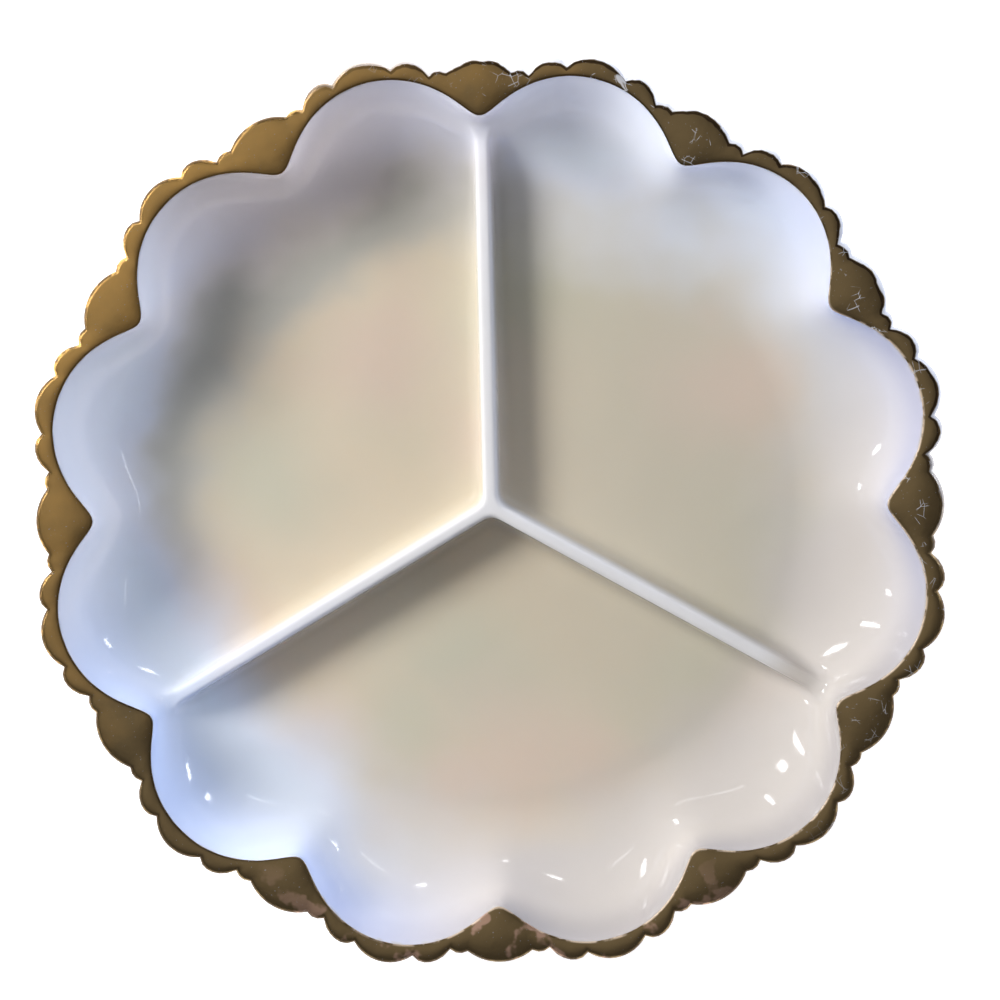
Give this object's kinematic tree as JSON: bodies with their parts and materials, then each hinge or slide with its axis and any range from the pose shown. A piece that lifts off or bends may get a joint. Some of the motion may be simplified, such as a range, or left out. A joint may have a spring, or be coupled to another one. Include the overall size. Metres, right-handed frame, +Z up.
{
  "type": "divided relish dish",
  "caption": "Round opal glass relish dish with a lobed wall, straight dividers that meet at the centre, a flat foot ring and a scalloped gilded rim.",
  "frame": {"origin": "centre of the foot ring's underside, where the dish stands", "axes": "+Z up, out of the dish; one divider runs from the centre along +Y, the others 120 degrees either side of it"},
  "size_m": [0.241, 0.241, 0.03],
  "materials": {
    "opal_glass": "gloss",
    "gilding": "satin"
  },
  "bodies": {
    "root": {"glass_dish": "opal_glass", "gilded_rim": "gilding"}
  },
  "joints": []
}
